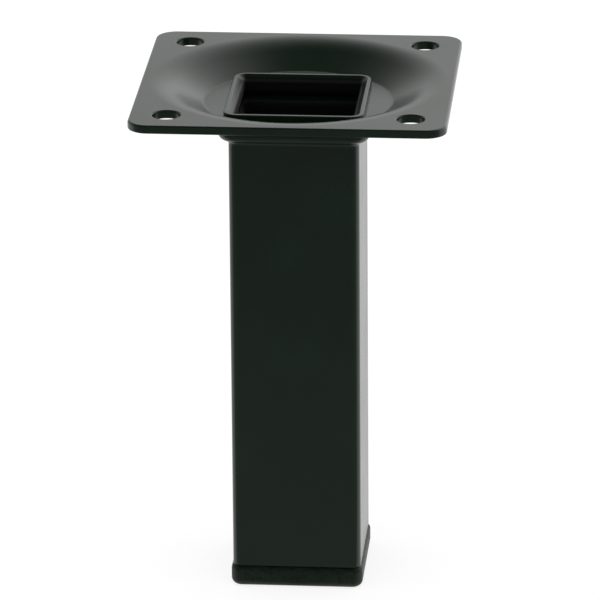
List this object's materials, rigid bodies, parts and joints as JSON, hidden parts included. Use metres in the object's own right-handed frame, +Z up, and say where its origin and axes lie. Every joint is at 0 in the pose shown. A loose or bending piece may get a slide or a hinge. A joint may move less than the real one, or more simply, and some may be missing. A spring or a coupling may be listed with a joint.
{
  "type": "square metal table leg",
  "caption": "Short square steel furniture leg: a dished screw-on plate held on the tube by its turned-over lip and bulge, with a plastic foot cap in the lower end.",
  "frame": {"origin": "middle of the foot cap's underside, on the floor", "axes": "+Z up along the tube towards the mounting plate, X and Y along the plate's sides"},
  "size_m": [0.06, 0.06, 0.1],
  "materials": {
    "plate_coat": "satin black powder coat",
    "tube_coat": "satin black powder coat",
    "cap_plastic": "satin black moulded plastic"
  },
  "bodies": {
    "root": {"mounting_plate": "plate_coat", "square_tube": "tube_coat", "foot_cap": "cap_plastic"}
  },
  "joints": []
}
